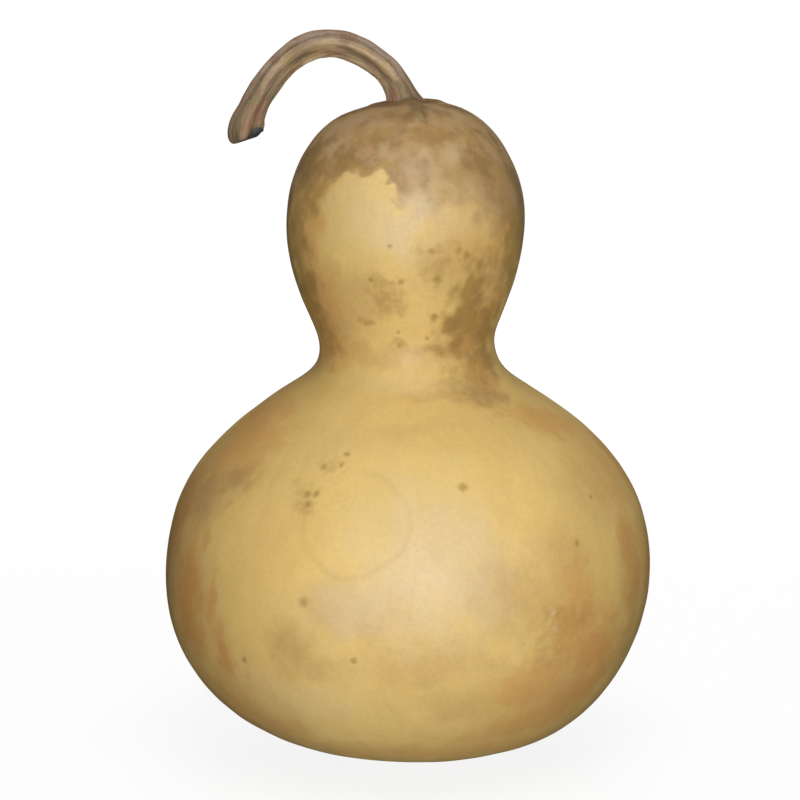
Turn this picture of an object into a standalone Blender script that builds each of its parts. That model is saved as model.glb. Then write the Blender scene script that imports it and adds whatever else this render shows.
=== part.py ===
"""Dried bottle gourd: a waisted, hard-shelled fruit with its bent woody stem, standing on its base.

Metres, +Z up. The origin lies under the middle of the belly, on the plane that the fruit rests on.
Lengths below are in millimetres and are scaled once, when a mesh is made.
"""
import math

import bpy
import numpy as np

MM = 0.001

# Driving sizes of the fruit
BODY_HEIGHT = 246.5   # resting plane to crown, without the stem
BELLY_RADIUS = 92.0   # widest part, low down
WAIST_RADIUS = 33.2   # narrowest part, between belly and head
HEAD_RADIUS = 45.0    # upper swelling, which carries the stem
REST_RADIUS = 18.0    # flattened spot that the fruit stands on

# Sections of the fruit from its rest up to its crown: height, radius, sideways drift of the middle
SECTIONS = (
    (0.0, REST_RADIUS, 6.0),
    (3.0, 0.34 * BELLY_RADIUS, 6.0),
    (10.0, 0.615 * BELLY_RADIUS, 2.5),
    (24.0, 0.82 * BELLY_RADIUS, 0.0),
    (46.0, 0.96 * BELLY_RADIUS, -0.5),
    (72.0, BELLY_RADIUS, 0.0),
    (100.0, 0.93 * BELLY_RADIUS, 0.5),
    (124.0, 0.723 * BELLY_RADIUS, 1.0),
    (140.0, 1.34 * WAIST_RADIUS, 1.0),
    (149.0, 1.045 * WAIST_RADIUS, 0.8),
    (157.0, WAIST_RADIUS, 0.0),
    (166.0, 0.8 * HEAD_RADIUS, -0.5),
    (186.0, 0.965 * HEAD_RADIUS, -0.5),
    (206.0, HEAD_RADIUS, 0.0),
    (226.0, 0.865 * HEAD_RADIUS, 0.0),
    (239.5, 0.62 * HEAD_RADIUS, 0.5),
    (BODY_HEIGHT, 0.0, 6.0),
)

# Grown unevenness of the fruit, as shares of its radius
OVAL = 0.010           # two-sided flattening
LOBES = 0.006          # three-sided swelling
TWIST_PER_MM = 0.012   # turn of both with height, radians per millimetre

# Stem: course of its middle from the foot on the crown to the free end, with its radius
STEM_COURSE = (
    (-2.2, 0.0, 245.9, 5.2),
    (-2.6, -0.2, 249.0, 5.2),
    (-4.8, -0.5, 254.0, 4.9),
    (-8.6, -0.9, 258.4, 4.9),
    (-15.2, -1.4, 263.2, 4.9),
    (-22.8, -1.9, 266.5, 4.9),
    (-31.0, -2.3, 267.1, 4.9),
    (-38.8, -2.8, 264.8, 4.9),
    (-46.5, -3.3, 258.7, 4.9),
    (-52.7, -3.8, 250.8, 4.9),
    (-57.5, -4.4, 242.0, 5.4),
    (-59.3, -4.8, 236.6, 6.5),
    (-60.0, -5.0, 231.9, 6.9),
)
STEM_GAP = 0.3          # between the foot and the crown, which stay two bodies
FOOT_SPREAD = 4.4       # how far the foot runs out over the crown, away from the bend
FOOT_LENGTH = 2.0       # length of stem over which that spread dies away
RIBS = 5                # lengthwise ridges of the stem
RIB_HEIGHT = 0.06       # share of the stem's radius
RIB_TWIST = 1.3         # turn of the ridges along the whole stem, radians
END_SLANT = 0.45        # slope of the cut end across the stem
END_LENGTH = 14.0       # length of stem over which its rings tilt into that slope
END_ROUNDING = 2.6      # length over which the cut end draws in
END_RIM = 0.72          # share of the radius that is left at the rim of the cut end
END_DISH = 1.5          # depth of the dried pith in the cut end

# Rings of the fine profile on which the crown's height is looked up
FINE_RINGS = 800
CROWN_RINGS = 120

# Mesh fineness
FRUIT_SEGMENTS = 64
FRUIT_RINGS = 58
STEM_SEGMENTS = 30
STEM_RINGS = 44

FRUIT_COLOUR = (0.58, 0.40, 0.17, 1.0)
STEM_COLOUR = (0.22, 0.15, 0.08, 1.0)


def spline(knots, values, at, start_slope=None, end_slope=None):
    """Cubic spline through the values; an end without a slope is left straight."""
    knots, values = np.asarray(knots, float), np.asarray(values, float)
    count = len(knots)
    gaps, rises = np.diff(knots), np.diff(values)
    matrix, right = np.zeros((count, count)), np.zeros(count)
    for i in range(1, count - 1):
        matrix[i, i - 1:i + 2] = gaps[i], 2 * (gaps[i - 1] + gaps[i]), gaps[i - 1]
        right[i] = 3 * (gaps[i] * rises[i - 1] / gaps[i - 1] + gaps[i - 1] * rises[i] / gaps[i])
    for row, near, gap, rise, slope in (
        (0, 1, gaps[0], rises[0], start_slope),
        (-1, -2, gaps[-1], rises[-1], end_slope),
    ):
        matrix[row, row] = 1 if slope is not None else 2
        matrix[row, near] = 0 if slope is not None else 1
        right[row] = slope if slope is not None else 3 * rise / gap
    slopes = np.linalg.solve(matrix, right)
    cell = np.clip(np.searchsorted(knots, at) - 1, 0, count - 2)
    t = (at - knots[cell]) / gaps[cell]
    return (
        values[cell] * (1 + 2 * t) * (1 - t) ** 2
        + values[cell + 1] * t ** 2 * (3 - 2 * t)
        + slopes[cell] * gaps[cell] * t * (1 - t) ** 2
        - slopes[cell + 1] * gaps[cell] * t ** 2 * (1 - t)
    )


def path_lengths(points):
    """Distance along a run of points, from its first point to each."""
    steps = np.linalg.norm(np.diff(points, axis=0), axis=1)
    return np.concatenate([[0.0], np.cumsum(steps)])


def fruit_profile(rings):
    """Height, radius and drift of the fruit's skin, from the edge of its rest to the crown."""
    height, radius, drift = np.array(SECTIONS).T
    along = path_lengths(np.column_stack([height, radius]))
    at = np.linspace(0.0, along[-1], rings)
    return (
        spline(along, height, at, 0.0, 0.0),
        spline(along, radius, at, 1.0, -1.0),
        spline(along, drift, at),
    )


def unevenness(height, angle):
    """Factor on the fruit's radius: slightly oval and three-sided, turning with height."""
    turn = TWIST_PER_MM * height
    return 1 + OVAL * np.cos(2 * angle + turn) + LOBES * np.cos(3 * angle - turn)


def fruit_grid(rings, segments):
    """Points of the fruit's skin, ring by ring."""
    height, radius, drift = (column[:, None] for column in fruit_profile(rings))
    angle = np.linspace(0.0, 2 * math.pi, segments, endpoint=False)[None, :]
    reach = radius * unevenness(height, angle)
    return np.stack(
        [drift + reach * np.cos(angle), reach * np.sin(angle), height + 0 * angle], axis=2
    )


def crown_height(x, y):
    """Height of the crown over one point near the stem's foot."""
    height, radius, drift = (column[-CROWN_RINGS:] for column in fruit_profile(FINE_RINGS))
    angle = np.arctan2(y, x - drift)
    outside = np.hypot(x - drift, y) - radius * unevenness(height, angle)
    return np.interp(0.0, outside, height)


def stem_frames(rings):
    """Distance from the foot, middle, radius, and the two cross directions and course of each ring."""
    course = np.array(STEM_COURSE)
    along = path_lengths(course[:, :3])
    share = np.linspace(0.0, 1.0, rings)
    at = along[-1] * (share + (1 - np.cos(math.pi * share)) / 2) / 2
    upright = (0.0, 0.0, 1.0)
    middle = np.column_stack(
        [spline(along, course[:, axis], at, upright[axis]) for axis in range(3)]
    )
    radius = spline(along, course[:, 3], at)
    ahead = np.gradient(middle, at, axis=0)
    ahead /= np.linalg.norm(ahead, axis=1)[:, None]
    depth = np.array([0.0, 1.0, 0.0]) - ahead * ahead[:, 1:2]
    depth /= np.linalg.norm(depth, axis=1)[:, None]
    side = np.cross(depth, ahead)
    return at, middle, radius, side, depth, ahead


def end_share(left, rounding, rim):
    """Share of the radius where the cut end draws in, `left` before the end of the stem."""
    drawn = np.clip(1 - left / rounding, 0.0, 1.0)
    return rim + (1 - rim) * np.sqrt(1 - drawn ** 2)


def stem_grid(rings, segments):
    """Points of the stem's skin, ring by ring, from the foot to the rim of the cut end."""
    at, middle, radius, side, depth, ahead = stem_frames(rings)
    at, radius = at[:, None], radius[:, None]
    angle = np.linspace(0.0, 2 * math.pi, segments, endpoint=False)[None, :]
    left = at[-1] - at
    ribs = 1 + RIB_HEIGHT * np.cos(RIBS * angle + RIB_TWIST * at / at[-1])
    spread = FOOT_SPREAD * (1 + np.cos(angle)) / 2 * np.exp(-at / FOOT_LENGTH)
    reach = radius * ribs * end_share(left, END_ROUNDING, END_RIM) + spread
    across, back = reach * np.cos(angle), reach * np.sin(angle)
    slant = END_SLANT * np.clip(1 - left / END_LENGTH, 0.0, 1.0) ** 2 * across
    return (
        middle[:, None, :]
        + across[..., None] * side[:, None, :]
        + back[..., None] * depth[:, None, :]
        + slant[..., None] * ahead[:, None, :]
    )


def close_grid(name, grid, first, last, material):
    """One closed mesh from rings of points, with a point that closes each end."""
    rings, segments = grid.shape[:2]
    points = np.concatenate([grid.reshape(-1, 3), [first, last]]) * MM
    low, high = rings * segments, rings * segments + 1
    faces = []
    for j in range(segments):
        k = (j + 1) % segments
        faces.append((low, k, j))
        faces.append((high, (rings - 1) * segments + j, (rings - 1) * segments + k))
        for i in range(rings - 1):
            a, b = i * segments, (i + 1) * segments
            faces.append((a + j, a + k, b + k, b + j))
    mesh = bpy.data.meshes.new(name)
    mesh.from_pydata(points.tolist(), [], faces)
    mesh.materials.append(material)
    mesh.shade_smooth()
    mesh.update()
    body = bpy.data.objects.new(name, mesh)
    bpy.context.scene.collection.objects.link(body)
    return body


def plain_material(name, colour, roughness):
    """Principled material with one colour."""
    material = bpy.data.materials.new(name)
    material.use_nodes = True
    shader = material.node_tree.nodes["Principled BSDF"]
    shader.inputs["Base Color"].default_value = colour
    shader.inputs["Roughness"].default_value = roughness
    return material


def build_fruit():
    """The hard-shelled fruit, closed by its flat rest below and its crown above."""
    grid = fruit_grid(FRUIT_RINGS, FRUIT_SEGMENTS)
    rest = grid[0].mean(axis=0)
    crown = grid[-1].mean(axis=0)
    return close_grid("gourd", grid[:-1], rest, crown, plain_material("gourd skin", FRUIT_COLOUR, 0.45))


def build_stem():
    """The woody stem: its foot follows the crown, its free end is cut aslant and dished."""
    grid = stem_grid(STEM_RINGS, STEM_SEGMENTS)
    under = grid[0].mean(axis=0)
    for point in [*grid[0], under]:
        point[2] = crown_height(point[0], point[1]) + STEM_GAP
    ahead = stem_frames(STEM_RINGS)[-1][-1]
    tip = grid[-1].mean(axis=0) - END_DISH * ahead
    return close_grid("stem", grid, under, tip, plain_material("stem bark", STEM_COLOUR, 0.75))


def clear_scene():
    """Removes whatever the scene starts with."""
    for item in list(bpy.data.objects):
        bpy.data.objects.remove(item, do_unlink=True)


def main():
    """Builds both pieces."""
    clear_scene()
    build_fruit()
    build_stem()


main()
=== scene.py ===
"""Looks of the dried bottle gourd: its fine meshes, their materials, the light and the camera.

The fruit and the stem repeat the forms and named sizes of the part's source and add the detail
that is finer than its solids. Lengths are in millimetres and are scaled when an object or a node is
made; +Z is up. An azimuth is in degrees round the fruit, 0 at its front (-Y) and growing to the
right (+X). The lean of a mark is in degrees too.
"""
import math

import bmesh
import bpy
import numpy as np
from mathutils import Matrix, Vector


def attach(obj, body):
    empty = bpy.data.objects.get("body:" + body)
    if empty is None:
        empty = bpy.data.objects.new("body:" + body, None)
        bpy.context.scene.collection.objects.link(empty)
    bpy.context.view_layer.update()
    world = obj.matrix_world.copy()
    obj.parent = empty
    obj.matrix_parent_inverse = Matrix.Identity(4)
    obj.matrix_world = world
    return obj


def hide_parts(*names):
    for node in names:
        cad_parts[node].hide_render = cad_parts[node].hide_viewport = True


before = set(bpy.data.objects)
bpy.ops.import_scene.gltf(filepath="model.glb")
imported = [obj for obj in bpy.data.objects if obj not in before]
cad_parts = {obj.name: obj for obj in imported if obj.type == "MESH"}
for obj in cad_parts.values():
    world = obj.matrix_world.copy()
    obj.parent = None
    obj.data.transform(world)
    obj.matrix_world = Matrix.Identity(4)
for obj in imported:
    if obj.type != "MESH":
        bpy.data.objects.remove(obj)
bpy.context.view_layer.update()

MM = 0.001

# Driving sizes of the fruit
BODY_HEIGHT = 246.5   # resting plane to crown, without the stem
BELLY_RADIUS = 92.0   # widest part, low down
WAIST_RADIUS = 33.2   # narrowest part, between belly and head
HEAD_RADIUS = 45.0    # upper swelling, which carries the stem
REST_RADIUS = 18.0    # flattened spot that the fruit stands on

# Sections of the fruit from its rest up to its crown: height, radius, sideways drift of the middle
SECTIONS = (
    (0.0, REST_RADIUS, 6.0),
    (3.0, 0.34 * BELLY_RADIUS, 6.0),
    (10.0, 0.615 * BELLY_RADIUS, 2.5),
    (24.0, 0.82 * BELLY_RADIUS, 0.0),
    (46.0, 0.96 * BELLY_RADIUS, -0.5),
    (72.0, BELLY_RADIUS, 0.0),
    (100.0, 0.93 * BELLY_RADIUS, 0.5),
    (124.0, 0.723 * BELLY_RADIUS, 1.0),
    (140.0, 1.34 * WAIST_RADIUS, 1.0),
    (149.0, 1.045 * WAIST_RADIUS, 0.8),
    (157.0, WAIST_RADIUS, 0.0),
    (166.0, 0.8 * HEAD_RADIUS, -0.5),
    (186.0, 0.965 * HEAD_RADIUS, -0.5),
    (206.0, HEAD_RADIUS, 0.0),
    (226.0, 0.865 * HEAD_RADIUS, 0.0),
    (239.5, 0.62 * HEAD_RADIUS, 0.5),
    (BODY_HEIGHT, 0.0, 6.0),
)

# Grown unevenness of the fruit, as shares of its radius
OVAL = 0.010           # two-sided flattening
LOBES = 0.006          # three-sided swelling
TWIST_PER_MM = 0.012   # turn of both with height, radians per millimetre

# Fine relief of the rind
DENT_LENGTH, DENT_DEPTH = 46.0, 0.22      # broad shallow dents
RIPPLE_LENGTH, RIPPLE_DEPTH = 13.0, 0.05  # small unevenness between them
DENT_START, DENT_FULL = 1.0, 14.0         # heights over which both set in above the rest
SCAR_RADIUS, SCAR_DEPTH = 9.0, 0.9        # scar of the blossom, sunk into the rest
SCAR_FLAT = 0.55                          # share of its radius that is flat
NUB_RADIUS = 2.6                          # dried nub in the middle of that scar
NUB_FLAT = 0.3                            # share of its radius that is flat
NUB_HEIGHT = 0.8                          # share of the scar's depth
CROWN_BASE = SECTIONS[-4][0]              # height above which the roots and puckers lie

# Roots of the stem, which run out over the crown: azimuth, reach from the foot's middle, height
ROOTS = (
    (17, 34.0, 1.4),
    (82, 19.0, 0.9),
    (150, 24.0, 0.8),
    (215, 18.0, 0.9),
    (287, 15.0, 0.7),
)
ROOT_WIDTH = 3.0    # half width of a root at the foot
ROOT_TAPER = 0.875  # how much of it is lost up to the root's tip
ROOT_WANDER = 0.6   # how far a root swings to the sides
ROOT_SWING = 4.2    # length of root for each radian of that swinging
ROOT_START = 3.0    # distance from the foot's middle over which a root rises
ROOT_FULL = 0.7     # share of its reach up to which it keeps its height
PUCKER = 0.25       # height of the skin's puckers round the foot
PUCKERS = 11        # how many there are
PUCKER_SHIFT = 1.5  # how unevenly they are spaced, radians
PUCKER_REACH = 4.5  # distance beyond the foot over which they fade to a third

# Stem: course of its middle from the foot on the crown to the free end, with its radius
STEM_COURSE = (
    (-2.2, 0.0, 245.9, 5.2),
    (-2.6, -0.2, 249.0, 5.2),
    (-4.8, -0.5, 254.0, 4.9),
    (-8.6, -0.9, 258.4, 4.9),
    (-15.2, -1.4, 263.2, 4.9),
    (-22.8, -1.9, 266.5, 4.9),
    (-31.0, -2.3, 267.1, 4.9),
    (-38.8, -2.8, 264.8, 4.9),
    (-46.5, -3.3, 258.7, 4.9),
    (-52.7, -3.8, 250.8, 4.9),
    (-57.5, -4.4, 242.0, 5.4),
    (-59.3, -4.8, 236.6, 6.5),
    (-60.0, -5.0, 231.9, 6.9),
)
FOOT_MIDDLE = STEM_COURSE[0][:2]
FOOT_RADIUS = STEM_COURSE[0][3]
FOOT_SINK = 0.5         # how far the foot's edge reaches into the skin, so that no gap shows
FOOT_SPREAD = 4.4       # how far the foot runs out over the crown, away from the bend
FOOT_LENGTH = 2.0       # length of stem over which that spread dies away
RIBS = 5                # lengthwise ridges of the stem
RIB_HEIGHT = 0.06       # share of the stem's radius
RIB_TWIST = 1.3         # turn of the ridges along the whole stem, radians
END_SLANT = 0.45        # slope of the cut end across the stem
END_LENGTH = 14.0       # length of stem over which its rings tilt into that slope
END_ROUNDING = 2.6      # length over which the cut end draws in
END_RIM = 0.72          # share of the radius that is left at the rim of the cut end
END_DISH = 1.5          # depth of the dried pith in the cut end

# Fine relief of the stem
FURROW_DEPTH = 0.30     # furrows between and across the ribs
FURROW_LENGTH = 4.0     # their size across the stem
WRINKLE_DEPTH = 0.10    # finer wrinkles over them
WRINKLE_LENGTH = 1.4
STRETCH = 5.0           # how many times longer than wide both are
PITH_DEPTH = 0.35       # roughness of the dried pith in the cut end
PIT_LENGTH = 2.2        # size of its pits
CHIP_ANGLE = 205.0      # chipped corner of the cut end, painted black as dark pith and painted shade: place round the rim, degrees
CHIP_RADIUS = 6.0       # how far it reaches from there
CHIP_FLAT = 0.45        # share of that radius over which it keeps its full depth
CHIP_DEPTH = 0.9
OUTER_ROUNDING = 1.6    # extra rounding on the outside of the bend, as a share of END_ROUNDING
OUTER_DRAW = 0.34       # share of the radius by which the rim draws in further there

# Lengths of the stem that colours follow
FOOT_DIM, FOOT_CLEAR = 3.0, 16.0   # from the foot: fully dim up to one, clear from the other
END_DIM, END_CLEAR = 12.0, 34.0    # the same from the cut end
RIM_BLACK = 1.2                    # width of the rim painted black, as dark pith and painted shade

# Shares of ribs and furrows in the relief that the bark's painted highlights and painted shade
# follow
RIB_SHARE, FURROW_SHARE = 0.65, 0.4

# Mesh fineness
FINE_RINGS = 800       # rings of the profile on which places on the skin are looked up
CROWN_RINGS = 120      # those of them that cover the crown
FRUIT_SEGMENTS = 320   # points round the fruit
FRUIT_RINGS = 286      # rings from the edge of its rest to the crown
REST_RINGS = 14        # steps from the middle of the rest to its edge
STEM_SEGMENTS = 144    # points round the stem
STEM_RINGS = 380       # rings from its foot to the rim of the cut end
END_RINGS = 16         # steps from that rim to the middle of the cut end

# Marks on the skin: azimuth, height, half width, half length, lean to the right, strength
BROWN_MARKS = (
    # Blotch on the neck
    (34, 180, 4, 11, 6, 0.9),
    (34.5, 171, 7.5, 12, 5, 1.0),
    (31, 159, 8, 3.5, -10, 0.9),
    (38, 164, 10, 5, 0, 0.95),
    # Right of it
    (57, 164, 6, 12, 0, 0.8),
    # From there down to the collar
    (52, 153, 9, 7, 0, 0.85),
    (36, 146, 10, 7, 0, 0.45),
    (38, 141, 9, 8, 0, 0.45),
    # Right of the head's light patch
    (32, 191, 4, 4, 20, 0.5),
    (11, 196, 6, 3, 0, 0.4),
    (15, 189, 7, 5, 10, 0.4),
    (25, 195, 4, 2, 20, 0.5),
    (43, 190, 4, 10, 0, 0.5),
    (14, 184, 3, 2, 0, 0.5),
    # Under the light patch, down to the waist
    (-13, 184, 4, 2, 0, 0.45),
    (-9, 178, 5, 5, -10, 0.5),
    (-24, 168, 4, 2, 0, 0.55),
    (16, 170, 3, 2, 0, 0.6),
    (-4, 160, 3, 2, 0, 0.4),
    (-42, 160, 4, 2, 0, 0.3),
    # On the cap
    (-23, 224, 11, 2, 0, 0.9),
    (-20, 235, 8, 4, 0, 0.55),
    (11, 235, 9, 4, 0, 0.75),
    (40, 233, 5, 4, 0, 0.55),
    (10, 229, 8, 3, 10, 0.5),
    (30, 220, 8, 6, 15, 0.45),
    (-45, 221, 8, 5, -20, 0.6),
    (42, 227, 4, 5, -15, 0.5),
    (-55, 226, 9, 4, 0, 0.5),
    # Dots at its edge
    (-1, 214, 2, 3, -20, 0.5),
    (3, 209, 2, 2, 0, 0.45),
    # Right side of the head
    (54, 219, 7, 8, 0, 0.6),
    (63, 195, 9, 18, 0, 0.75),
    (40, 205, 4, 5, 0, 0.35),
    # Left side of the head
    (-53, 214, 10, 6, -30, 0.75),
    (-64, 200, 8, 16, 0, 0.75),
    (-80, 192, 9, 20, -6, 0.6),
    (-62, 180, 8, 15, 10, 0.9),
    # Left of the waist
    (-58, 162, 7, 9, 0, 0.6),
    # Left shoulder of the belly
    (-56, 110, 11, 5, -25, 0.25),
    (-67, 104, 9, 9, 15, 0.3),
    # Round the dots there
    (-28, 112, 5, 5, 0, 0.4),
    (-23, 122, 7, 3, -35, 0.35),
    # Low on the left
    (-27, 57, 9, 7, 0, 0.2),
    (-44, 42, 9, 5, 0, 0.2),
    # Right of the belly
    (39, 68, 13, 6, 0, 0.4),
    (35, 60, 9, 9, 0, 0.35),
    # The back, which the photograph doesn't show
    (104, 176, 6, 19, 15, 0.8),
    (114, 160, 10, 7, -10, 0.7),
    (126, 136, 7, 11, -35, 0.6),
    (133, 126, 12, 4, 10, 0.45),
    (166, 186, 5, 9, 20, 0.5),
    (172, 178, 9, 3, 0, 0.35),
    (172, 97, 17, 4, -25, 0.3),
    (206, 122, 5, 13, 25, 0.55),
    (213, 112, 10, 5, -20, 0.4),
    (233, 170, 5, 13, -10, 0.75),
    (241, 158, 9, 6, 10, 0.7),
    (246, 68, 5, 12, 15, 0.3),
    (112, 72, 6, 12, -15, 0.3),
    (150, 40, 20, 4, 10, 0.25),
)
RUST_MARKS = (
    # Streaks down the left side
    (-55, 90, 3, 8, 0, 0.5),
    (-50, 72, 3, 10, 0, 0.6),
    (-47, 53, 6, 11, -5, 0.8),
    # Left side
    (-61, 67, 13, 25, 0, 0.85),
    (-79, 92, 13, 26, 10, 0.6),
    (-84, 54, 14, 22, -8, 0.5),
    # Left shoulder
    (-68, 126, 27, 17, 35, 0.6),
    # Left of the waist
    (-62, 160, 14, 12, 0, 0.7),
    # Left side of the head
    (-52, 205, 9, 22, 0, 0.5),
    (-50, 176, 11, 17, 8, 0.4),
    # Foot of the blotch on the neck
    (43, 159, 12, 3, 0, 0.6),
    (48, 148, 7, 7, 0, 0.5),
    # Right side of the head
    (31, 202, 13, 14, 0, 0.3),
    (49, 199, 7, 18, 0, 0.5),
    (54, 175, 6, 15, 10, 0.5),
    # Right shoulder
    (65, 129, 22, 11, 35, 0.6),
    (67, 113, 18, 19, 30, 0.4),
    # Right side
    (64, 82, 10, 22, 0, 0.65),
    (79, 68, 12, 28, -8, 0.55),
    (84, 112, 12, 18, 15, 0.5),
    # Low on the right
    (41, 68, 15, 18, 0, 0.65),
    (48, 52, 18, 14, 20, 0.85),
    (46, 38, 24, 9, -20, 0.8),
    (33, 46, 18, 13, 0, 0.5),
    (35, 28, 30, 11, -15, 0.5),
    # Foot of the belly
    (-49, 27, 30, 15, 30, 0.4),
    (-8, 17, 36, 7, 0, 0.35),
    (24, 17, 30, 8, 0, 0.35),
    # The back, which the photograph doesn't show
    (95, 84, 9, 28, 5, 0.6),
    (139, 104, 5, 20, 14, 0.45),
    (131, 82, 11, 11, -15, 0.35),
    (158, 150, 24, 8, 10, 0.4),
    (188, 74, 5, 26, 8, 0.4),
    (199, 50, 9, 13, -15, 0.35),
    (226, 92, 4, 28, -6, 0.5),
    (236, 72, 11, 12, 25, 0.35),
    (225, 150, 20, 9, -20, 0.4),
    (262, 100, 12, 26, 0, 0.6),
    (170, 22, 44, 8, 8, 0.45),
    (245, 26, 34, 9, -8, 0.45),
)
SHADE_MARKS = (
    # Collar
    (11, 142, 16, 3, 0, 0.4),
    (38, 143, 11, 9, 0, 0.9),
    (-1, 133, 16, 4, -5, 0.25),
    # Left shoulder
    (-27, 128, 14, 9, -20, 0.15),
    (-55, 112, 12, 9, -25, 0.95),
    (-64, 104, 14, 14, 15, 0.95),
    # Right shoulder
    (51, 108, 15, 15, 0, 0.4),
    # Middle of the belly
    (-10, 76, 21, 14, 0, 0.55),
    (23, 80, 20, 19, 0, 0.7),
    (-19, 54, 14, 8, 0, 0.5),
    (12, 40, 18, 8, 0, 0.4),
    # Left side
    (-76, 88, 16, 40, 0, 0.8),
    # Belly, further out and lower
    (37, 90, 16, 15, 0, 0.4),
    (-26, 60, 12, 12, 0, 0.65),
    (5, 58, 26, 10, 0, 0.45),
    (40, 40, 24, 11, 0, 0.3),
    # Head
    (-45, 174, 13, 17, 0, 0.6),
    (18, 190, 14, 12, 0, 0.5),
    # Waist and neck
    (-4, 156, 24, 6, 0, 0.55),
    (-25, 176, 12, 12, 0, 0.45),
    # The back, which the photograph doesn't show
    (120, 60, 30, 25, 0, 0.5),
    (175, 125, 28, 14, 10, 0.5),
    (215, 50, 34, 20, 0, 0.4),
    (150, 165, 16, 16, 0, 0.5),
)
# Pale marks: bloom, spots and nicks of the rind, and painted highlights and painted light
PALE_AND_HIGHLIGHT_MARKS = (
    # Painted highlight on the light patch of the head
    (-20, 209, 18, 16, 0, 0.4),
    (-4, 202, 10, 11, 0, 0.75),
    # Bloom right of the cap's edge
    (6, 211, 9, 12, 5, 0.95),
    (4, 224, 7, 8, 0, 0.3),
    (24, 204, 13, 9, 0, 0.3),
    (28, 216, 8, 5, 0, 0.1),
    # Spots on the cap
    (-12, 231, 3, 3, 0, 0.35),
    (39, 242, 7, 6, 0, 0.2),
    (26, 229, 6, 6, 10, 0.3),
    (-51, 231, 7, 4, 0, 0.2),
    # Under the waist, a band of painted light
    (-4, 146, 25, 5, 0, 0.25),
    # Middle of the belly, painted highlight
    (5, 92, 31, 31, 0, 0.75),
    (-12, 76, 22, 12, 0, 0.5),
    (-23, 40, 29, 10, 0, 0.25),
    # Nicks
    (34, 70, 3, 1.5, 0, 0.7),
    (32, 67, 1.5, 2, -20, 0.4),
    # The back, which the photograph doesn't show
    (160, 208, 16, 10, 0, 0.5),
    (130, 232, 6, 5, 0, 0.4),
    (225, 226, 8, 6, 0, 0.4),
    (200, 140, 24, 8, 0, 0.4),
    (160, 100, 18, 16, 0, 0.5),
)
MARK_BLEND = 1.0   # how far past its edge, in its own size, a mark's strength still counts

# Wobble of the outlines of marks: length along the skin, reach
WOBBLES = (
    (11.0, 1.6),
    (5.0, 0.8),
)

# Lower edge of the brown cap, all round the head: azimuth, height, softness
CAP_EDGE = (
    (-85, 196, 6), (-70, 211, 5), (-55, 216, 3.5), (-42, 219, 2), (-30, 222, 1.6),
    (-20, 223.5, 1.6), (-11, 220.5, 1.6), (-5, 216, 1.8), (1, 212.5, 3), (9, 208, 7),
    (18, 211, 10), (28, 210, 9), (38, 206, 9), (50, 204, 10), (65, 199, 10),
    (85, 190, 5), (105, 199, 3), (125, 207, 2.5), (150, 200, 5), (175, 214, 2.5),
    (205, 206, 2.5), (235, 212, 6), (258, 200, 5),
)

# Dark specks: azimuth, height, radius
SPECKS = (
    (-19.9, 125.2, 1.6), (-20.6, 121.9, 1.5), (-25.7, 120.8, 2.1), (-27.5, 112.4, 2.1),
    (-24.9, 112.7, 1.7), (-26.6, 109.4, 2.0), (14.4, 116.0, 2.6), (-23.3, 77.7, 2.6),
    (-11.6, 58.2, 1.7), (-39.6, 52.5, 2.0), (42.3, 94.1, 2.0), (53.1, 107.1, 1.3),
    (-4.0, 160.0, 1.4), (-4.0, 165.0, 1.1), (15.5, 171.0, 2.0), (-2.0, 184.0, 1.7),
    (11.0, 195.0, 1.9), (23.9, 194.9, 1.7), (28.3, 193.2, 1.9), (14.8, 184.8, 2.0),
    (36.5, 189.2, 2.2), (12.6, 162.6, 1.3), (-16.8, 184.5, 1.5), (-7.5, 197.0, 1.3),
    (147.0, 118.0, 2.3), (196.0, 88.0, 1.9), (228.0, 132.0, 1.6),
)
SPECK_SPREAD = 1.15    # where a speck has faded out, as a share of its radius
SPECK_SHARE = 0.85     # how strong it is in its middle
SPECK_WARP = 2.4, 0.8  # irregularity of its outline: size, reach

# Faint ring on the left of the belly
RING_AZIMUTH, RING_HEIGHT, RING_RADIUS, RING_WIDTH = -13.3, 104.9, 19.3, 1.8
RING_SHARE = 0.14      # how strong it is
RING_WARP = 24, 3.0    # irregularity of its course: size, reach

# Camera, from the photograph's view of the object
CAMERA_TARGET = (-2.5, 0.0, 133.8)   # the lights face it too
CAMERA_DISTANCE = 800.0
CAMERA_ELEVATION = 10.0
FRAME_WIDTH = 304.0    # width of the picture at the target
SENSOR_WIDTH = 36.0

# Square soft boxes: name, azimuth, elevation, distance, size, power in watts
LIGHTS = (
    ("key", 2.5, -1.0, 1100.0, 220.0, 12.0),
    ("top", 10.0, 70.0, 1200.0, 900.0, 8.7),
    ("fill_left", -130.0, 20.0, 1400.0, 700.0, 4.0),
    ("fill_right", 130.0, 20.0, 1400.0, 700.0, 4.0),
    ("fill_back", 180.0, 20.0, 1400.0, 700.0, 8.0),
)
EVEN_LIGHT = 0.04      # strength of the light from all sides

# White floor and surroundings
STAGE_RADIUS = 8000.0
FLOOR_GLOW = 0.87      # what the floor gives off round the object, as a share of full white
FLOOR_GREY = 0.14      # share of the light that it throws back, which lets the shadow show
GLOW_START, GLOW_FULL = 240.0, 1200.0   # distances between which its glow rises to full white


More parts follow.
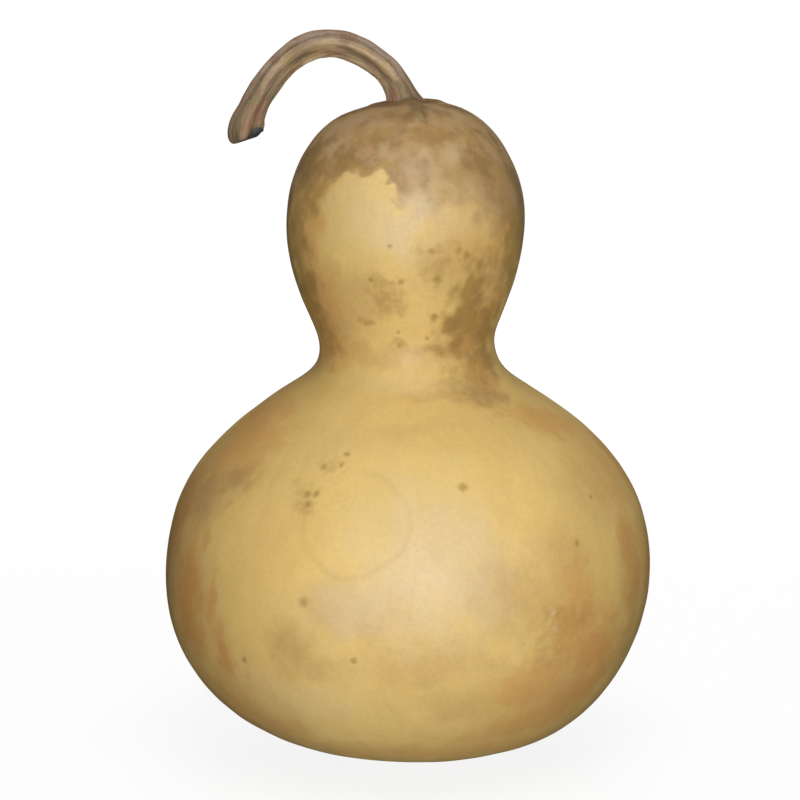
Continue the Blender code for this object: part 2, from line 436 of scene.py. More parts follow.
def spline(knots, values, at, start_slope=None, end_slope=None):
    """Cubic spline through the values; an end without a slope is left straight."""
    knots, values = np.asarray(knots, float), np.asarray(values, float)
    count = len(knots)
    gaps, rises = np.diff(knots), np.diff(values)
    matrix, right = np.zeros((count, count)), np.zeros(count)
    for i in range(1, count - 1):
        matrix[i, i - 1:i + 2] = gaps[i], 2 * (gaps[i - 1] + gaps[i]), gaps[i - 1]
        right[i] = 3 * (gaps[i] * rises[i - 1] / gaps[i - 1] + gaps[i - 1] * rises[i] / gaps[i])
    for row, near, gap, rise, slope in (
        (0, 1, gaps[0], rises[0], start_slope),
        (-1, -2, gaps[-1], rises[-1], end_slope),
    ):
        matrix[row, row] = 1 if slope is not None else 2
        matrix[row, near] = 0 if slope is not None else 1
        right[row] = slope if slope is not None else 3 * rise / gap
    slopes = np.linalg.solve(matrix, right)
    cell = np.clip(np.searchsorted(knots, at) - 1, 0, count - 2)
    t = (at - knots[cell]) / gaps[cell]
    return (
        values[cell] * (1 + 2 * t) * (1 - t) ** 2
        + values[cell + 1] * t ** 2 * (3 - 2 * t)
        + slopes[cell] * gaps[cell] * t * (1 - t) ** 2
        - slopes[cell + 1] * gaps[cell] * t ** 2 * (1 - t)
    )


def path_lengths(points):
    """Distance along a run of points, from its first point to each."""
    steps = np.linalg.norm(np.diff(points, axis=0), axis=1)
    return np.concatenate([[0.0], np.cumsum(steps)])


def rise(value, start, end):
    """Smooth step from 0 at `start` to 1 at `end`."""
    t = np.clip((value - start) / (end - start), 0.0, 1.0)
    return t * t * (3 - 2 * t)


def waves(points, length, seed, count=24):
    """Smooth random field over points, mostly from -1 to 1, with features about `length` long."""
    draw = np.random.default_rng(seed)
    heading = draw.normal(size=(count, 3))
    heading /= np.linalg.norm(heading, axis=1)[:, None]
    heading *= 2 * math.pi / length * draw.uniform(0.7, 1.4, (count, 1))
    phase = draw.uniform(0.0, 2 * math.pi, count)
    return np.cos(points @ heading.T + phase).sum(axis=-1) / math.sqrt(count)


def ring_angles(segments):
    """Angles of the points of a ring, as a row."""
    return np.linspace(0.0, 2 * math.pi, segments, endpoint=False)[None, :]


def grid_normals(grid):
    """Outward direction at each point of a grid of rings."""
    around = np.roll(grid, -1, axis=1) - np.roll(grid, 1, axis=1)
    normal = np.cross(around, np.gradient(grid, axis=0))
    return normal / np.maximum(np.linalg.norm(normal, axis=2, keepdims=True), 1e-9)


def fruit_profile(rings):
    """Height, radius and drift of the fruit's skin, from the edge of its rest to the crown."""
    height, radius, drift = np.array(SECTIONS).T
    along = path_lengths(np.column_stack([height, radius]))
    at = np.linspace(0.0, along[-1], rings)
    return (
        spline(along, height, at, 0.0, 0.0),
        spline(along, radius, at, 1.0, -1.0),
        spline(along, drift, at),
    )


def unevenness(height, angle):
    """Factor on the fruit's radius: slightly oval and three-sided, turning with height."""
    turn = TWIST_PER_MM * height
    return 1 + OVAL * np.cos(2 * angle + turn) + LOBES * np.cos(3 * angle - turn)


def skin_rings():
    """Height, radius and drift of each ring of the fruit, from its rest's middle to the crown."""
    height, radius, drift = fruit_profile(FRUIT_RINGS)
    inner = REST_RADIUS * np.arange(1, REST_RINGS) / REST_RINGS
    return (
        np.concatenate([0 * inner, height[:-1]]),
        np.concatenate([inner, radius[:-1]]),
        np.concatenate([0 * inner + drift[0], drift[:-1]]),
    )


def fruit_grid(height, radius, drift):
    """Points of the fruit's skin, ring by ring."""
    height, radius, drift = height[:, None], radius[:, None], drift[:, None]
    angle = ring_angles(FRUIT_SEGMENTS)
    reach = radius * unevenness(height, angle)
    return np.stack(
        [drift + reach * np.cos(angle), reach * np.sin(angle), height + 0 * angle], axis=2
    )


def skin_point(azimuth, height):
    """Point on the skin at an azimuth and a height."""
    heights, radius, drift = fruit_profile(FINE_RINGS)
    angle = math.radians(azimuth - 90)
    reach = np.interp(height, heights, radius) * unevenness(height, angle)
    middle = np.interp(height, heights, drift)
    return middle + reach * math.cos(angle), reach * math.sin(angle), height


def crown_height(x, y):
    """Height of the crown over one point near the stem's foot."""
    height, radius, drift = (column[-CROWN_RINGS:] for column in fruit_profile(FINE_RINGS))
    angle = np.arctan2(y, x - drift)
    outside = np.hypot(x - drift, y) - radius * unevenness(height, angle)
    return np.interp(0.0, outside, height)


def root_field(grid):
    """Height of the stem's roots over each point of the skin, in millimetres."""
    away = grid[..., :2] - FOOT_MIDDLE
    field = np.zeros(grid.shape[:2])
    for azimuth, reach, height in ROOTS:
        angle = math.radians(azimuth - 90)
        heading = np.array([math.cos(angle), math.sin(angle)])
        out = away @ heading
        side = away @ np.array([-heading[1], heading[0]])
        wander = ROOT_WANDER * np.sin(out / ROOT_SWING + azimuth)
        width = ROOT_WIDTH - ROOT_TAPER * out / reach
        ridge = np.exp(-((side - wander) / width) ** 2)
        ends = rise(out, 0.0, ROOT_START) * rise(-out, -reach, -ROOT_FULL * reach)
        field = np.maximum(field, height * ridge * ends)
    return field * (grid[..., 2] > CROWN_BASE)


def puckers(grid):
    """Small radial folds that the skin makes round the stem's foot."""
    away = grid[..., :2] - FOOT_MIDDLE
    distance = np.linalg.norm(away, axis=2)
    angle = np.arctan2(away[..., 1], away[..., 0])
    folds = np.cos(PUCKERS * angle + PUCKER_SHIFT * np.sin(3 * angle))
    near = np.exp(-np.clip(distance - FOOT_RADIUS, 0.0, None) / PUCKER_REACH)
    near *= rise(distance, 0.0, FOOT_RADIUS) * (grid[..., 2] > CROWN_BASE)
    return PUCKER * folds * near


def scar(radius, height):
    """How far the blossom's scar sinks into the rest, ring by ring."""
    bowl = 1 - rise(radius, SCAR_FLAT * SCAR_RADIUS, SCAR_RADIUS)
    nub = 1 - rise(radius, NUB_FLAT * NUB_RADIUS, NUB_RADIUS)
    return SCAR_DEPTH * (bowl - NUB_HEIGHT * nub) * (height <= 0.0)


def wobble(grid, seed):
    """Small shifts that make the outlines of marks irregular."""
    return sum(reach * waves(grid, length, seed + i) for i, (length, reach) in enumerate(WOBBLES))


def mark_fields(name, marks, azimuth, along, radius, level):
    """How deep in a mark each point of the skin lies, and how strong the marks there are."""
    nearest = np.full(along.shape, -1.0)
    total, weights = np.zeros(along.shape), np.full(along.shape, 1e-6)
    for at, height, width, length, lean, strength in marks:
        across = np.radians((azimuth - at + 180) % 360 - 180) * radius
        up = along - level(height)
        lean = math.radians(lean)
        u = (across * math.cos(lean) - up * math.sin(lean)) / width
        v = (across * math.sin(lean) + up * math.cos(lean)) / length
        depth = 1 - np.hypot(u, v)
        nearest = np.maximum(nearest, depth)
        weight = np.clip(depth + MARK_BLEND, 0.0, None) ** 2
        total += strength * weight
        weights += weight
    return {name: nearest, name + "_depth": total / weights}


def cap_field(azimuth, along, level):
    """How far above the cap's lower edge each point lies, and how soft that edge is there."""
    rows = np.array(CAP_EDGE, float)
    turn = np.array([360.0, 0.0, 0.0])
    knots, edge, softness = np.concatenate([rows[-3:] - turn, rows, rows[:3] + turn]).T
    azimuth = (azimuth + 90) % 360 - 90
    return along - level(spline(knots, edge, azimuth)), np.interp(azimuth, knots, softness)


def skin_fields(height, radius, grid):
    """Named values at each point of the skin, which its material turns into colours."""
    path = path_lengths(np.column_stack([height, radius]))

    def level(at):
        """Distance along the skin of a height, from the middle of the rest."""
        return np.interp(at, height[REST_RINGS:], path[REST_RINGS:])

    radius = np.maximum(radius, FOOT_RADIUS)[:, None]
    angle = ring_angles(FRUIT_SEGMENTS)
    azimuth = np.degrees(angle + wobble(grid, seed=31) / radius) + 90
    along = path[:, None] + wobble(grid, seed=41)
    # A circle of radius 1, shortened in height, so that what is drawn there runs lengthwise
    up = path[:, None] / BODY_HEIGHT
    grain = np.stack(np.broadcast_arrays(np.cos(angle), np.sin(angle), up), axis=2)
    above, softness = cap_field(azimuth, along, level)
    fields = {
        "cap": above,
        "cap_softness": softness,
        "root": root_field(grid) / ROOTS[0][2],
        "foot": np.linalg.norm(grid - np.append(FOOT_MIDDLE, BODY_HEIGHT), axis=2) - FOOT_RADIUS,
        "grain": grain,
    }
    for name, marks in (
        ("brown", BROWN_MARKS),
        ("rust", RUST_MARKS),
        ("shade", SHADE_MARKS),
        ("pale", PALE_AND_HIGHLIGHT_MARKS),
    ):
        fields.update(mark_fields(name, marks, azimuth, along, radius, level))
    return fields


def stem_frames(rings):
    """Distance from the foot, middle, radius, two cross directions and course of each ring."""
    course = np.array(STEM_COURSE)
    along = path_lengths(course[:, :3])
    share = np.linspace(0.0, 1.0, rings)
    at = along[-1] * (share + (1 - np.cos(math.pi * share)) / 2) / 2
    upright = (0.0, 0.0, 1.0)
    middle = np.column_stack(
        [spline(along, course[:, axis], at, upright[axis]) for axis in range(3)]
    )
    radius = spline(along, course[:, 3], at)
    ahead = np.gradient(middle, at, axis=0)
    ahead /= np.linalg.norm(ahead, axis=1)[:, None]
    depth = np.array([0.0, 1.0, 0.0]) - ahead * ahead[:, 1:2]
    depth /= np.linalg.norm(depth, axis=1)[:, None]
    side = np.cross(depth, ahead)
    return at, middle, radius, side, depth, ahead


def end_share(left, angle):
    """Share of the radius where the cut end draws in, `left` before the end of the stem."""
    outer = np.clip(np.cos(angle), 0.0, None)
    rim = END_RIM - OUTER_DRAW * outer
    drawn = np.clip(1 - left / (END_ROUNDING * (1 + OUTER_ROUNDING * outer)), 0.0, 1.0)
    return rim + (1 - rim) * np.sqrt(1 - drawn ** 2)


def stem_grain(at, angle):
    """Place on the stem with its length shortened, so that what is drawn there runs lengthwise."""
    return FOOT_RADIUS * np.stack(
        np.broadcast_arrays(np.cos(angle), np.sin(angle), at / STRETCH / FOOT_RADIUS), axis=2
    )


def furrows(at, angle):
    """Furrows and wrinkles along the stem, in millimetres."""
    grain = stem_grain(at, angle)
    return (
        FURROW_DEPTH * waves(grain, FURROW_LENGTH, seed=11)
        + WRINKLE_DEPTH * waves(grain, WRINKLE_LENGTH, seed=12)
    )


def stem_grid(rings, segments):
    """Points of the stem's skin, ring by ring, from the foot to the rim of the cut end."""
    at, middle, radius, side, depth, ahead = stem_frames(rings)
    at, radius = at[:, None], radius[:, None]
    angle = ring_angles(segments)
    left = at[-1] - at
    ribs = 1 + RIB_HEIGHT * np.cos(RIBS * angle + RIB_TWIST * at / at[-1])
    spread = FOOT_SPREAD * (1 + np.cos(angle)) / 2 * np.exp(-at / FOOT_LENGTH)
    reach = radius * ribs * end_share(left, angle) + spread + furrows(at, angle)
    across, back = reach * np.cos(angle), reach * np.sin(angle)
    slant = END_SLANT * np.clip(1 - left / END_LENGTH, 0.0, 1.0) ** 2 * across
    return (
        middle[:, None, :]
        + across[..., None] * side[:, None, :]
        + back[..., None] * depth[:, None, :]
        + slant[..., None] * ahead[:, None, :]
    )


def chip(grid):
    """How near each point of the stem lies to the chipped corner of its cut end, from 0 to 1."""
    corner = grid[-1, round(CHIP_ANGLE / 360 * grid.shape[1])]
    distance = np.linalg.norm(grid - corner, axis=2)
    return 1 - rise(distance, CHIP_FLAT * CHIP_RADIUS, CHIP_RADIUS)


def cut_end(rim, ahead):
    """Rings of points from the rim of the cut end to its middle, dished and pitted."""
    middle = rim.mean(axis=0)
    share = (1 - np.arange(1, END_RINGS) / END_RINGS)[:, None, None]
    flat = middle + (rim - middle) * share
    pits = PITH_DEPTH * waves(flat, PIT_LENGTH, seed=21) * np.sin(math.pi * share[..., 0])
    sunk = END_DISH * (1 - share[..., 0] ** 3) - pits
    return flat - sunk[..., None] * ahead


def add_fields(mesh, fields):
    """Keeps named values on a mesh; the two points that close it get those of the nearest ring."""
    for name, field in fields.items():
        ends = field[0].mean(axis=0), field[-1].mean(axis=0)
        vector = field.ndim == 3
        kind, key = ("FLOAT_VECTOR", "vector") if vector else ("FLOAT", "value")
        width = 3 if vector else 1
        values = np.concatenate([field.reshape(-1, width), np.reshape(ends, (2, width))])
        attribute = mesh.attributes.new(name, kind, "POINT")
        attribute.data.foreach_set(key, values.astype(np.float32).ravel())


def close_grid(name, grid, first, last, fields, material):
    """One closed piece from rings of points, with a point that closes each end."""
    rings, segments = grid.shape[:2]
    points = np.concatenate([grid.reshape(-1, 3), [first, last]]) * MM
    low, high = rings * segments, rings * segments + 1
    faces = []
    for j in range(segments):
        k = (j + 1) % segments
        faces.append((low, k, j))
        faces.append((high, (rings - 1) * segments + j, (rings - 1) * segments + k))
        for i in range(rings - 1):
            a, b = i * segments, (i + 1) * segments
            faces.append((a + j, a + k, b + k, b + j))
    mesh = bpy.data.meshes.new(name)
    mesh.from_pydata(points.tolist(), [], faces)
    mesh.materials.append(material)
    mesh.shade_smooth()
    add_fields(mesh, fields)
    piece = bpy.data.objects.new(name, mesh)
    bpy.context.scene.collection.objects.link(piece)
    return piece


class Nodes:
    """Nodes of one material; most methods add some and return the output of the last."""

    def __init__(self, name):
        self.material = bpy.data.materials.new(name)
        self.material.use_nodes = True
        self.tree = self.material.node_tree
        self.shader = self.tree.nodes["Principled BSDF"]
        self.place = self.add("ShaderNodeTexCoord", {}, "Object")

    def put(self, socket, value):
        """Links or sets one input."""
        if isinstance(value, bpy.types.NodeSocket):
            self.tree.links.new(value, socket)
        else:
            socket.default_value = value

    def add(self, kind, inputs, output, **settings):
        """Adds a node with some inputs and settings, and returns its named output."""
        node = self.tree.nodes.new(kind)
        for name, value in settings.items():
            setattr(node, name, value)
        for name, value in inputs.items():
            self.put(next(s for s in node.inputs if s.name == name and s.enabled), value)
        return next(s for s in node.outputs if s.name == output and s.enabled)

    def field(self, name, output="Fac"):
        """Values kept on the mesh."""
        settings = {"attribute_type": "GEOMETRY", "attribute_name": name}
        return self.add("ShaderNodeAttribute", {}, output, **settings)

    def noise(self, size, detail=3.0, rough=0.5, place=None):
        """Noise from 0 to 1 with features about `size` millimetres long."""
        inputs = {
            "Vector": self.place if place is None else place,
            "Scale": 1 / (size * MM),
            "Detail": detail,
            "Roughness": rough,
        }
        return self.add("ShaderNodeTexNoise", inputs, "Fac")

    def math(self, operation, first, second=0.0):
        """One calculation with two values."""
        node = self.tree.nodes.new("ShaderNodeMath")
        node.operation = operation
        self.put(node.inputs[0], first)
        self.put(node.inputs[1], second)
        return node.outputs[0]

    def sway(self, value, noise, amount):
        """Value that a noise moves up and down, by half of `amount` at most."""
        centred = self.math("SUBTRACT", noise, 0.5)
        return self.math("ADD", value, self.math("MULTIPLY", centred, amount))

    def mark(self, name, size, amount, start, end):
        """Share of one kind of mark at each point, its edge broken up by a noise."""
        near = self.sway(self.field(name), self.noise(size, detail=5.0, rough=0.56), amount)
        return self.math("MULTIPLY", self.ramp(near, start, end), self.field(name + "_depth"))

    def ramp(self, value, start, end, low=0.0, high=1.0):
        """Smooth step of a value, from `low` at `start` to `high` at `end`."""
        inputs = {"Value": value, "From Min": start, "From Max": end, "To Min": low, "To Max": high}
        return self.add("ShaderNodeMapRange", inputs, "Result", interpolation_type="SMOOTHSTEP")

    def clouds(self, size, start, end, low=0.0, high=1.0, **looks):
        """Soft patches: a smooth step of a noise."""
        return self.ramp(self.noise(size, **looks), start, end, low, high)

    def mix(self, amount, below, above, blend="MIX"):
        """Colour `above` laid over `below` by a share."""
        inputs = {"Factor": amount, "A": below, "B": above}
        return self.add("ShaderNodeMix", inputs, "Result", data_type="RGBA", blend_type=blend)

    def distance(self, first, second):
        """Distance between two places, in metres."""
        node = self.tree.nodes.new("ShaderNodeVectorMath")
        node.operation = "DISTANCE"
        self.put(node.inputs[0], first)
        self.put(node.inputs[1], second)
        return node.outputs["Value"]

    def warp(self, size, reach):
        """Place moved about by up to `reach`, which makes whatever is drawn there irregular."""
        inputs = {"Vector": self.place, "Scale": 1 / (size * MM), "Detail": 2.0}
        noise = self.add("ShaderNodeTexNoise", inputs, "Color")
        node = self.tree.nodes.new("ShaderNodeVectorMath")
        node.operation = "MULTIPLY_ADD"
        self.put(node.inputs[0], noise)
        node.inputs[1].default_value = (2 * reach * MM,) * 3
        shift = self.tree.nodes.new("ShaderNodeVectorMath")
        shift.operation = "SUBTRACT"
        self.put(shift.inputs[0], self.place)
        shift.inputs[1].default_value = (reach * MM,) * 3
        self.put(node.inputs[2], shift.outputs[0])
        return node.outputs[0]

    def bump(self, height, depth, below=None):
        """Bump of `depth` millimetres, over another bump if there is one."""
        inputs = {"Height": height, "Distance": depth * MM, "Strength": 1.0}
        if below is not None:
            inputs["Normal"] = below
        return self.add("ShaderNodeBump", inputs, "Normal")


def colour(red, green, blue):
    """An opaque colour for a socket."""
    return red, green, blue, 1.0


STRAW = colour(0.615, 0.428, 0.15)
TAN = colour(0.575, 0.388, 0.127)
SHADE = colour(0.43, 0.268, 0.10)
OLIVE = colour(0.57, 0.405, 0.13)
ROSE = colour(0.61, 0.38, 0.16)
# Pale bloom of the rind, also used as painted highlight
PALE_AND_HIGHLIGHT = colour(0.545, 0.415, 0.235)
CAP_BROWN = colour(0.365, 0.235, 0.107)
CAP_DARK = colour(0.235, 0.14, 0.058)
CAP_ROSE = colour(0.385, 0.245, 0.135)
BROWN = colour(0.288, 0.163, 0.052)
UMBER = colour(0.322, 0.196, 0.053)
RUST = colour(0.485, 0.238, 0.068)
SPECK = colour(0.32, 0.195, 0.055)
ROOT = colour(0.205, 0.13, 0.055)
ROOT_LIGHT = colour(0.245, 0.17, 0.08)
# Painted shade where the stem's foot meets the crown
FOOT_SHADE = colour(0.19, 0.10, 0.05)


def clean_skin(nodes):
    """Straw-coloured rind with soft clouds of tan, olive and rose."""
    skin = nodes.mix(nodes.clouds(42, 0.35, 0.65), STRAW, TAN)
    skin = nodes.mix(nodes.clouds(27, 0.48, 0.75, high=0.5), skin, OLIVE)
    rose = nodes.clouds(33, 0.5, 0.78, high=0.35, place=nodes.warp(60, 25))
    skin = nodes.mix(rose, skin, ROSE)
    skin = nodes.mix(nodes.mark("shade", 16, 1.4, -0.4, 0.8), skin, SHADE)
    return nodes.mix(nodes.mark("rust", 12, 1.6, -0.5, 0.7), skin, RUST)


def capped_skin(nodes, skin):
    """Brown, mottled cap of the head with a darker lower edge."""
    above = nodes.sway(nodes.field("cap"), nodes.noise(9, detail=5.0, rough=0.6), 9.0)
    field = nodes.math("DIVIDE", above, nodes.field("cap_softness"))
    cap = nodes.mix(nodes.clouds(11, 0.38, 0.58, detail=5.0, rough=0.55), CAP_DARK, CAP_BROWN)
    cap = nodes.mix(nodes.clouds(18, 0.46, 0.66, high=0.7), cap, CAP_ROSE)
    skin = nodes.mix(nodes.ramp(field, -0.8, 1.2, high=0.95), skin, cap)
    edge = nodes.math("MULTIPLY", nodes.ramp(field, -0.3, 0.8), nodes.ramp(above, 6.0, 2.0))
    return nodes.mix(nodes.math("MULTIPLY", edge, 0.45), skin, CAP_DARK)


def stained_skin(nodes, skin):
    """Ragged brown stains, and over them pale bloom and painted highlights."""
    stain = nodes.mix(nodes.clouds(9, 0.4, 0.6), BROWN, UMBER)
    grit = nodes.noise(3.5, detail=4.0, rough=0.6)
    patchy = nodes.ramp(nodes.sway(nodes.field("brown_depth"), grit, 1.8), 0.1, 0.7, 0.3, 1.0)
    share = nodes.math("MULTIPLY", nodes.mark("brown", 7, 2.1, -0.65, 0.6), patchy)
    skin = nodes.mix(share, skin, stain)
    # Pale bloom, and painted highlights on the head, under the waist and in the middle of the belly
    return nodes.mix(nodes.mark("pale", 11, 1.4, -0.4, 0.9), skin, PALE_AND_HIGHLIGHT)


def specked_skin(nodes, skin):
    """Small dark specks and a faint ring."""
    place = nodes.warp(*SPECK_WARP)
    for azimuth, height, radius in SPECKS:
        point = [MM * value for value in skin_point(azimuth, height)]
        away = nodes.distance(place, point)
        near = nodes.ramp(away, SPECK_SPREAD * radius * MM, 0.0, high=SPECK_SHARE)
        skin = nodes.mix(near, skin, SPECK)
    middle = [MM * value for value in skin_point(RING_AZIMUTH, RING_HEIGHT)]
    away = nodes.distance(nodes.warp(*RING_WARP), middle)
    off = nodes.math("ABSOLUTE", nodes.math("SUBTRACT", away, RING_RADIUS * MM))
    ring = nodes.ramp(off, RING_WIDTH * MM, 0.0, high=RING_SHARE)
    return nodes.mix(nodes.math("MULTIPLY", ring, nodes.clouds(14, 0.3, 0.55)), skin, BROWN)


def rooted_skin(nodes, skin):
    """Painted shade round the stem's foot, where it meets the crown, and roots of the colour of its
    bark.
    """
    root = nodes.sway(nodes.field("root"), nodes.noise(3, detail=4.0), 0.7)
    foot = nodes.sway(nodes.field("foot"), nodes.noise(5, detail=4.0), 8.0)
    # Painted shade in the crease round the stem's foot
    skin = nodes.mix(nodes.ramp(foot, 13.0, 6.0, high=0.85), skin, FOOT_SHADE)
    bark = nodes.mix(nodes.clouds(5, 0.4, 0.6), ROOT, ROOT_LIGHT)
    return nodes.mix(nodes.ramp(root, 0.1, 0.6, high=0.9), skin, bark)


def grained_skin(nodes, skin):
    """Fine grain and faint lengthwise streaks."""
    fine = nodes.clouds(1.7, 0.25, 0.75, 0.95, 1.04, detail=4.0, rough=0.65)
    lengthwise = nodes.field("grain", "Vector")
    streaks = nodes.clouds(60, 0.3, 0.7, 0.98, 1.02, detail=4.0, place=lengthwise)
    skin = nodes.mix(1.0, skin, fine, "MULTIPLY")
    return nodes.mix(1.0, skin, streaks, "MULTIPLY")


def skin_material():
    """Dry, smooth, faintly waxy rind."""
    nodes = Nodes("gourd_rind")
    skin = clean_skin(nodes)
    for layer in (capped_skin, stained_skin, specked_skin, rooted_skin, grained_skin):
        skin = layer(nodes, skin)
    nodes.put(nodes.shader.inputs["Base Color"], skin)
    nodes.put(nodes.shader.inputs["Roughness"], nodes.clouds(18, 0.3, 0.7, 0.48, 0.6, detail=4.0))
    nodes.shader.inputs["Specular IOR Level"].default_value = 0.3
    pores = nodes.bump(nodes.noise(0.9, rough=0.6), 0.05)
    nodes.put(nodes.shader.inputs["Normal"], nodes.bump(nodes.noise(6), 0.15, pores))
    return nodes.material


BARK = colour(0.215, 0.145, 0.075)
# Painted highlight on the crests of the ribs
BARK_CREST_HIGHLIGHT = colour(0.42, 0.30, 0.165)
# Painted shade in the furrows
BARK_FURROW_SHADE = colour(0.11, 0.075, 0.03)
BARK_GREY = colour(0.28, 0.205, 0.155)
BARK_GOLD = colour(0.30, 0.195, 0.08)
BARK_RED = colour(0.20, 0.105, 0.06)
BARK_DIM = colour(0.17, 0.125, 0.065)
# Dark dried pith, painted near black so that it also stands for the shade in the cut end
PITH_AND_SHADE = colour(0.035, 0.042, 0.04)


def bark_material():
    """Dry wood: painted highlights on crests, painted shade in furrows, a grey upper side, a black
    cut end.
    """
    nodes = Nodes("gourd_bark")
    fibre = nodes.noise(0.9, detail=4.0, rough=0.6, place=nodes.field("grain", "Vector"))
    relief = nodes.sway(nodes.field("relief"), fibre, 0.9)
    bark = nodes.mix(nodes.clouds(11, 0.42, 0.62, high=0.8, detail=4.0), BARK, BARK_GOLD)
    # Painted highlight on the crests
    bark = nodes.mix(nodes.ramp(relief, 0.1, 1.0, high=0.9), bark, BARK_CREST_HIGHLIGHT)
    # Painted shade in the furrows
    bark = nodes.mix(nodes.ramp(relief, 0.0, -0.8, high=0.9), bark, BARK_FURROW_SHADE)
    outer = nodes.sway(nodes.field("outer"), nodes.noise(6, detail=4.0), 2.4)
    bark = nodes.mix(nodes.ramp(outer, 0.1, 0.9, high=0.75), bark, BARK_GREY)
    bark = nodes.mix(nodes.clouds(7, 0.5, 0.64, high=0.6, detail=4.0), bark, BARK_RED)
    ends = nodes.sway(nodes.field("ends"), nodes.noise(4, detail=4.0), 1.2)
    dim = nodes.mix(nodes.clouds(6, 0.45, 0.6), BARK_DIM, BARK_RED)
    bark = nodes.mix(nodes.ramp(ends, 0.1, 0.9, high=0.75), bark, dim)
    # Cut end and chipped corner painted near black: dark pith and painted shade
    cut = nodes.sway(nodes.field("cut"), nodes.noise(1.5), 0.5)
    bark = nodes.mix(nodes.ramp(cut, 0.35, 0.7), bark, PITH_AND_SHADE)
    nodes.put(nodes.shader.inputs["Base Color"], bark)
    nodes.put(nodes.shader.inputs["Roughness"], nodes.ramp(fibre, 0.3, 0.7, 0.6, 0.8))
    fine = nodes.bump(fibre, 0.35)
    nodes.put(nodes.shader.inputs["Normal"], nodes.bump(nodes.noise(0.6), 0.12, fine))
    return nodes.material


def dress(piece, node):
    """Lets a piece stand for its CAD node."""
    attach(piece, "root")
    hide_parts(node)


def build_fruit():
    """The fruit: its skin with dents, roots of the stem and the blossom's scar."""
    height, radius, drift = skin_rings()
    grid = fruit_grid(height, radius, drift)
    fields = skin_fields(height, radius, grid)
    dents = DENT_DEPTH * waves(grid, DENT_LENGTH, seed=1)
    dents += RIPPLE_DEPTH * waves(grid, RIPPLE_LENGTH, seed=2)
    lift = dents * rise(height, DENT_START, DENT_FULL)[:, None] + root_field(grid) + puckers(grid)
    lift -= scar(radius, height)[:, None]
    grid += grid_normals(grid) * lift[..., None]
    piece = close_grid(
        "gourd_fruit", grid, grid[0].mean(axis=0), grid[-1].mean(axis=0), fields, skin_material()
    )
    dress(piece, "gourd")


def build_stem():
    """The stem: its foot sunk into the crown, its free end cut aslant and dished."""
    grid = stem_grid(STEM_RINGS, STEM_SEGMENTS)
    at, *_, ahead = stem_frames(STEM_RINGS)
    angle = ring_angles(STEM_SEGMENTS)
    chipped = chip(grid)
    grid -= CHIP_DEPTH * chipped[..., None] * grid_normals(grid)
    under = grid[0].mean(axis=0)
    for point in [*grid[0], under]:
        point[2] = crown_height(point[0], point[1]) - FOOT_SINK
    end = cut_end(grid[-1], ahead[-1])
    at = np.concatenate([at, np.full(len(end), at[-1])])[:, None]
    inner = 1 - np.clip(np.cos(angle), 0.0, None)
    cut = np.maximum(rise(at[:STEM_RINGS], at[-1] - RIM_BLACK, at[-1]) * inner, chipped)
    ribs = np.cos(RIBS * angle + RIB_TWIST * at / at[-1])
    dim = rise(at, FOOT_CLEAR, FOOT_DIM), rise(at, at[-1] - END_CLEAR, at[-1] - END_DIM)
    fields = {
        "relief": RIB_SHARE * ribs + FURROW_SHARE * furrows(at, angle) / FURROW_DEPTH,
        "outer": np.cos(angle) + 0 * at,
        "ends": np.maximum(*dim) + 0 * angle,
        "cut": np.concatenate([cut, np.ones(end.shape[:2])]),
        "grain": stem_grain(at, angle) * MM,
    }
    grid = np.concatenate([grid, end])
    piece = close_grid("gourd_stem", grid, under, end[-1].mean(axis=0), fields, bark_material())
    dress(piece, "stem")


def aim(item, azimuth, elevation, distance):
    """Puts a camera or a light round the camera's target and turns it to face that."""
    turn, tilt = math.radians(azimuth), math.radians(elevation)
    level = math.cos(tilt)
    back = Vector((math.sin(turn) * level, -math.cos(turn) * level, math.sin(tilt)))
    item.location = (Vector(CAMERA_TARGET) + back * distance) * MM
    item.rotation_euler = back.to_track_quat("Z", "Y").to_euler()
    bpy.context.scene.collection.objects.link(item)


def add_camera():
    """The camera, which sees the object as the photograph does."""
    data = bpy.data.cameras.new("camera")
    data.sensor_width = SENSOR_WIDTH
    data.lens = SENSOR_WIDTH * CAMERA_DISTANCE / FRAME_WIDTH
    camera = bpy.data.objects.new("camera", data)
    aim(camera, 0.0, CAMERA_ELEVATION, CAMERA_DISTANCE)
    bpy.context.scene.camera = camera


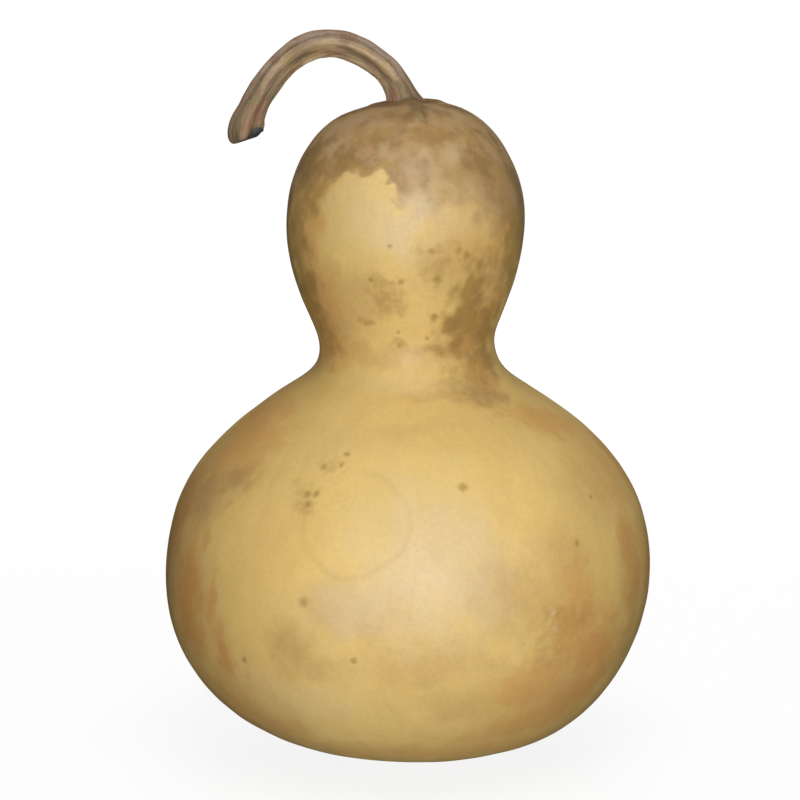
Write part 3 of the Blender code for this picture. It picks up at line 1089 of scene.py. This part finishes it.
def add_lights():
    """The key, the top light and the weak fills; only the key shows in reflections."""
    for name, azimuth, elevation, distance, size, power in LIGHTS:
        data = bpy.data.lights.new(name, "AREA")
        data.size = size * MM
        data.energy = power
        light = bpy.data.objects.new(name, data)
        light.visible_glossy = name == "key"
        aim(light, azimuth, elevation, distance)


def glowing_material(name, near, grey):
    """White surface that lights itself, `near` strong round the object and fully white far out."""
    nodes = Nodes(name)
    nodes.shader.inputs["Base Color"].default_value = colour(grey, grey, grey)
    nodes.shader.inputs["Roughness"].default_value = 1.0
    nodes.shader.inputs["Specular IOR Level"].default_value = 0.0
    nodes.shader.inputs["Emission Color"].default_value = colour(1.0, 1.0, 1.0)
    away = nodes.distance(nodes.place, (0.0, 0.0, 0.0))
    glow = nodes.ramp(away, GLOW_START * MM, GLOW_FULL * MM, near, 1.0)
    nodes.put(nodes.shader.inputs["Emission Strength"], glow)
    return nodes.material


def add_stage():
    """White floor with a faint shadow, white surroundings and the weak even light."""
    world = bpy.data.worlds.new("even_light")
    bpy.context.scene.world = world
    world.use_nodes = True
    light = world.node_tree.nodes["Background"]
    light.inputs["Color"].default_value = colour(1.0, 1.0, 1.0)
    light.inputs["Strength"].default_value = EVEN_LIGHT
    floor = bpy.data.meshes.new("floor")
    bm = bmesh.new()
    bmesh.ops.create_circle(bm, cap_ends=True, segments=64, radius=STAGE_RADIUS * MM)
    bm.to_mesh(floor)
    bm.clear()
    bmesh.ops.create_icosphere(bm, subdivisions=5, radius=STAGE_RADIUS * MM)
    dome = bpy.data.meshes.new("surroundings")
    bm.to_mesh(dome)
    bm.free()
    floor.materials.append(glowing_material("white_floor", FLOOR_GLOW, FLOOR_GREY))
    dome.materials.append(glowing_material("white_surroundings", 1.0, 0.0))
    for mesh in (floor, dome):
        item = bpy.data.objects.new(mesh.name, mesh)
        bpy.context.scene.collection.objects.link(item)
        item.visible_diffuse = False
        item.visible_glossy = False


bpy.context.scene.view_settings.view_transform = "Standard"
build_fruit()
build_stem()
add_stage()
add_lights()
add_camera()
